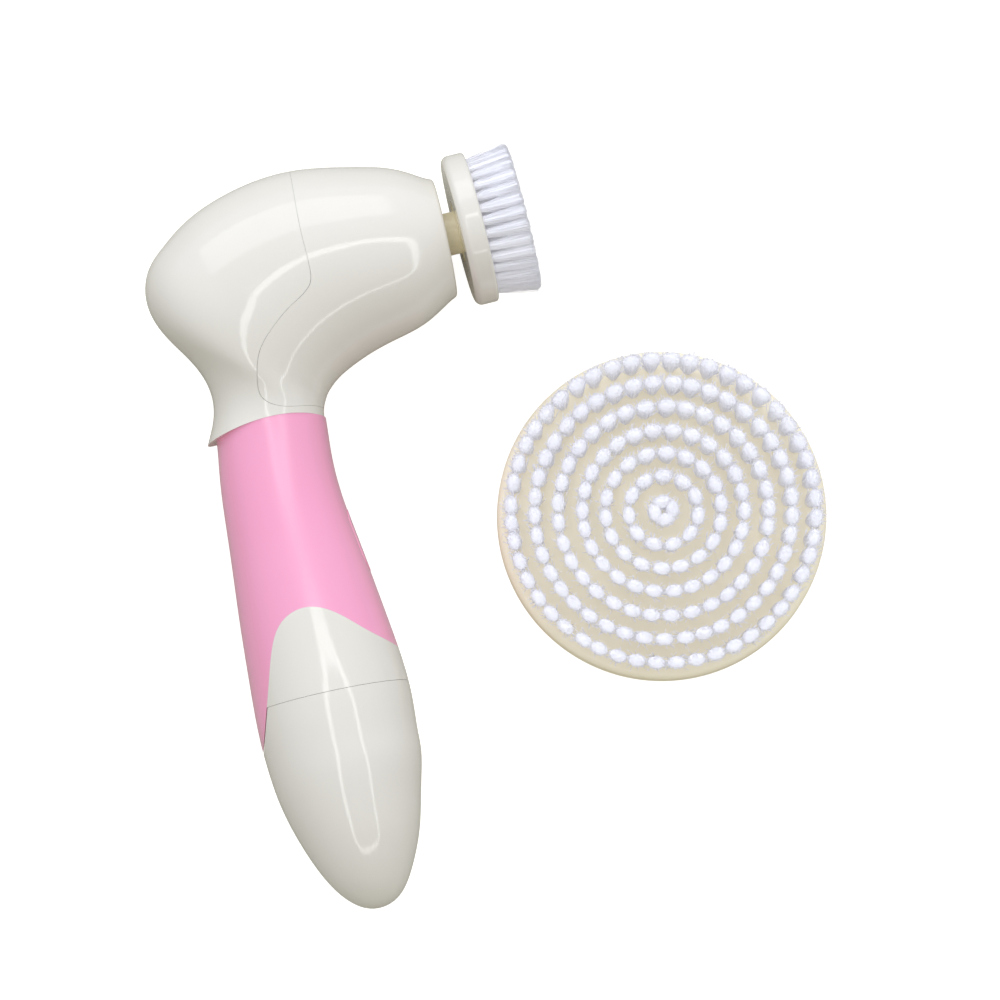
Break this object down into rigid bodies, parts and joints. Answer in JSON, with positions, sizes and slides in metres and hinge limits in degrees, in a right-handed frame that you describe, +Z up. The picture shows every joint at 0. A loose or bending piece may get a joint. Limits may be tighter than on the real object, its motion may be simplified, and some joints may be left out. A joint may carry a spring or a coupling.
{
  "type": "facial cleansing brush",
  "caption": "Hand-held battery facial cleansing brush with a turning round brush head, and a larger push-on body brush head.",
  "frame": {"origin": "middle of the bottom of the set's bounding box, with the brush lying on its side", "axes": "+X the way the spindle and facial brush point; +Y along the handle towards the head; +Z up, across the handle"},
  "size_m": [0.1818, 0.2146, 0.0481],
  "materials": {
    "ivory_abs": "gloss",
    "pink_abs": "gloss",
    "drive_plastic": "satin",
    "natural_pp": "satin",
    "bristle_nylon": "satin",
    "seal_rubber": "matte",
    "gear_acetal": "satin",
    "frame_plastic": "matte",
    "steel": "brushed",
    "nickel_strip": "satin",
    "brass": "satin",
    "magnet_ferrite": "matte",
    "circuit_board": "satin",
    "component_black": "matte",
    "cell_jacket": "satin",
    "wire_red": "satin",
    "wire_black": "satin",
    "wire_white": "satin"
  },
  "bodies": {
    "root": {"battery_cell_1": "cell_jacket", "battery_cell_2": "cell_jacket", "battery_cell_3": "cell_jacket", "battery_cell_4": "cell_jacket", "battery_holder": "frame_plastic", "board_components": "component_black", "board_screws": "steel", "compound_axle": "steel", "control_board": "circuit_board", "cover_seal": "seal_rubber", "front_bushing": "brass", "front_housing": "ivory_abs", "gearbox_front_plate": "frame_plastic", "gearbox_rear_plate": "frame_plastic", "gearbox_screws": "steel", "grip_sleeve": "pink_abs", "handle_tube": "ivory_abs", "motor_can": "steel", "motor_cushion": "seal_rubber", "motor_end_cap": "frame_plastic", "motor_magnets": "magnet_ferrite", "motor_screws": "steel", "motor_terminals": "brass", "mounting_screws": "steel", "rear_bushing": "brass", "rear_housing": "ivory_abs", "spindle_seal": "seal_rubber", "switch_body": "frame_plastic", "upper_contacts": "nickel_strip", "upper_springs": "steel", "wire_black": "wire_black", "wire_red": "wire_red", "wire_white": "wire_white"},
    "spindle": {"spindle_post": "drive_plastic", "head_retaining_ring": "seal_rubber", "output_shaft": "steel", "output_gear": "gear_acetal", "shaft_circlip": "steel"},
    "facial_head": {"facial_plate": "ivory_abs", "facial_hub": "drive_plastic", "facial_bristles": "bristle_nylon"},
    "compound": {"compound_gear": "gear_acetal"},
    "motor_rotor": {"motor_armature": "steel", "motor_shaft": "steel", "motor_pinion": "brass"},
    "button": {"power_button": "pink_abs", "switch_plunger": "component_black"},
    "cover": {"battery_cover": "ivory_abs", "contact_carrier": "frame_plastic", "lower_contacts": "nickel_strip", "lower_springs": "steel"},
    "body_head": {"body_plate": "natural_pp", "body_hub": "drive_plastic", "body_bristles": "bristle_nylon"}
  },
  "joints": [
    {"name": "spindle_spin", "type": "hinge", "parent": "root", "child": "spindle", "pos_m": [0.00042, 0.07975, 0.02404], "axis": [0.9995, 0.0332, 0], "continuous": true},
    {"name": "facial_head_pull", "type": "slide", "parent": "spindle", "child": "facial_head", "axis": [0.9995, 0.0332, 0], "range_m": [0, 0.015]},
    {"name": "compound_spin", "type": "hinge", "parent": "root", "child": "compound", "pos_m": [0.00002, 0.09179, 0.02404], "axis": [0.9995, 0.0332, 0], "continuous": true},
    {"name": "rotor_spin", "type": "hinge", "parent": "root", "child": "motor_rotor", "pos_m": [0.00036, 0.08135, 0.02404], "axis": [0.9995, 0.0332, 0], "continuous": true},
    {"name": "button_press", "type": "slide", "parent": "root", "child": "button", "axis": [-0.9914, -0.1309, 0], "range_m": [0, 0.001], "stiffness_N_per_m": 1000},
    {"name": "cover_pull", "type": "slide", "parent": "root", "child": "cover", "axis": [0, -1, 0], "range_m": [0, 0.045]},
    {"name": "body_head_lift", "type": "slide", "parent": "root", "child": "body_head", "axis": [0, 0, 1], "range_m": [0, 0.03]}
  ],
  "couplings": [
    {"joint": "compound_spin", "follows": "spindle_spin", "ratio": -3.8},
    {"joint": "rotor_spin", "follows": "spindle_spin", "ratio": 15.96}
  ]
}
